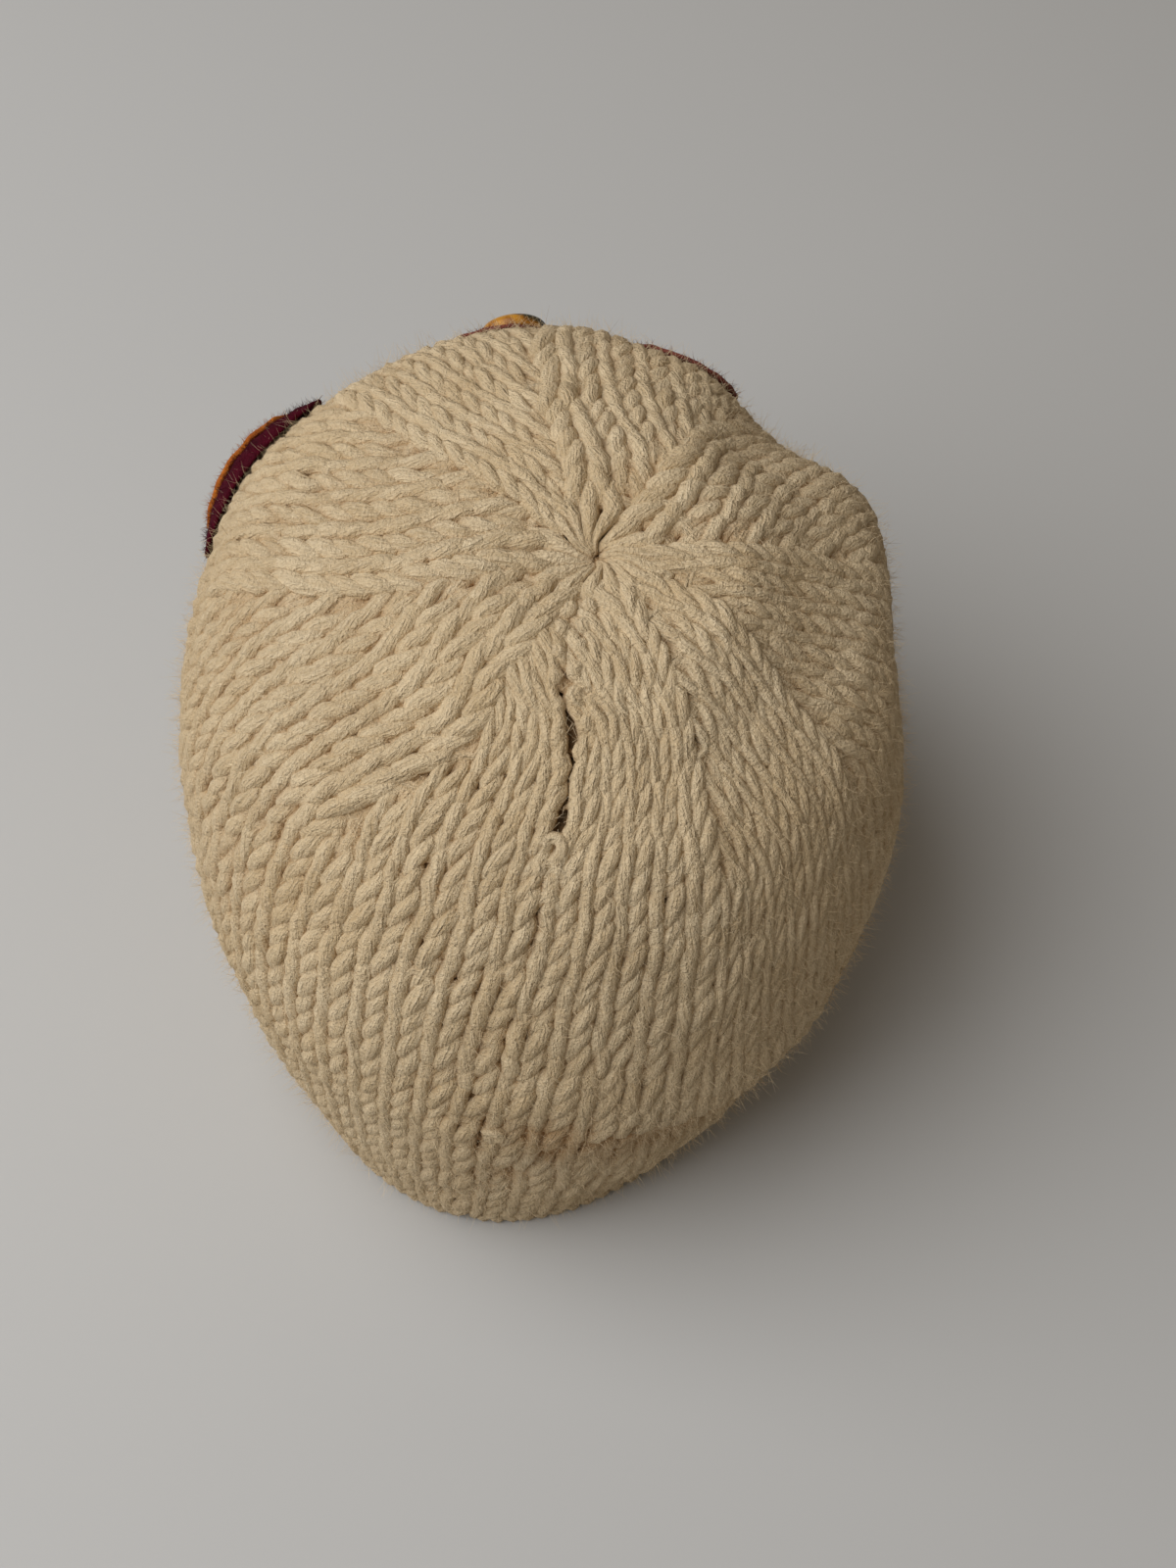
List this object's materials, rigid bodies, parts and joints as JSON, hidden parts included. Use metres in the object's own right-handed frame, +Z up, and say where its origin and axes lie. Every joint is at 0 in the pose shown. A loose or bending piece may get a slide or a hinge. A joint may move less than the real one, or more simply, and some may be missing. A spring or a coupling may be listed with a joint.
{
  "type": "wool beanie",
  "caption": "Hand-knitted wool beanie with decrease lines drawn in to the crown, a sewn back seam, a ribbed band and round felt appliques with a domed button.",
  "frame": {"origin": "middle of the hat's box, on the plane that its rim rests on", "axes": "+Z up through the crown, +Y to the centre back, where the seam runs, +X to the wearer's left"},
  "size_m": [0.1762, 0.2008, 0.1463],
  "materials": {
    "wool": "undyed hand-knitted wool, matt and fuzzy",
    "burgundy_felt": "thick matt felt",
    "orange_felt": "thin matt felt",
    "rust_felt": "thin matt felt",
    "olive_felt": "thin matt felt",
    "amber_button": "polished, with a dark mottled upper half"
  },
  "bodies": {
    "root": {"knit_body": "wool", "rib_band": "wool", "left_applique_base": "burgundy_felt", "left_applique_top": "orange_felt", "front_applique_base": "rust_felt", "front_button": "amber_button", "right_applique_base": "rust_felt", "right_applique_top": "olive_felt"}
  },
  "joints": []
}
